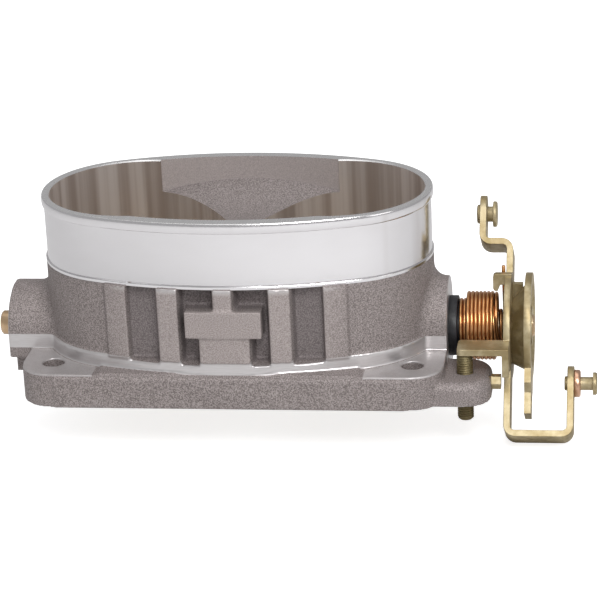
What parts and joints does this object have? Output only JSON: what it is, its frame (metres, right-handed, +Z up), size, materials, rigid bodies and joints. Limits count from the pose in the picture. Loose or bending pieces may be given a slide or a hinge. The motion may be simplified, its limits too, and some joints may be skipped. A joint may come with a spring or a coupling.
{
  "type": "throttle body",
  "caption": "Cast twin-bore throttle body with an oval hose collar, a mounting flange, a sprung cable lever and an idle stop screw.",
  "frame": {"origin": "centre of the mounting face, midway between the two bores", "axes": "+Z up to the air inlet, +X along the throttle shaft towards the lever, -Y the ribbed front with the idle screw"},
  "size_m": [0.2211, 0.0859, 0.0912],
  "materials": {
    "cast_aluminium": "as-cast with machined bores and a polished collar",
    "bronze": "sintered",
    "seal_rubber": "moulded",
    "black_nylon": "moulded",
    "bright_steel": "satin",
    "copper_wire": "bright copper-washed wire",
    "yellow_zinc": "yellow zinc plated",
    "dark_zinc": "dark plated thread",
    "brass_shaft": "turned",
    "brass_plate": "rolled sheet",
    "copper_collar": "turned"
  },
  "bodies": {
    "housing": {"throttle_housing": "cast_aluminium", "shaft_bushing_left": "bronze", "shaft_bushing_right": "bronze", "shaft_seal_left": "seal_rubber", "shaft_seal_right": "seal_rubber", "spring_guide_bushing": "black_nylon", "spring_anchor_pin": "bright_steel", "outer_return_spring": "copper_wire", "inner_return_spring": "copper_wire", "idle_screw_lock": "yellow_zinc"},
    "throttle": {"throttle_shaft": "brass_shaft", "throttle_plate_left": "brass_plate", "throttle_plate_right": "brass_plate", "plate_screws": "bright_steel", "throttle_lever": "yellow_zinc", "cable_cam": "yellow_zinc", "cam_rivets": "yellow_zinc", "upper_cable_stud": "yellow_zinc", "linkage_stud": "yellow_zinc", "stud_collar": "copper_collar", "lock_washer": "bright_steel", "shaft_nut": "yellow_zinc"},
    "idle_screw": {"idle_stop_screw": "dark_zinc"}
  },
  "joints": [
    {"name": "throttle_rotation", "type": "hinge", "parent": "housing", "child": "throttle", "pos_m": [0, 0, 0.0164], "axis": [-1, 0, 0], "range_deg": [0, 84], "stiffness_Nm_per_rad": 0.25, "springref_deg": -68.75, "deforming": ["outer_return_spring", "inner_return_spring"]},
    {"name": "idle_screw_adjust", "type": "slide", "parent": "housing", "child": "idle_screw", "axis": [0, 0, 1], "range_m": [-0.003, 0]}
  ]
}
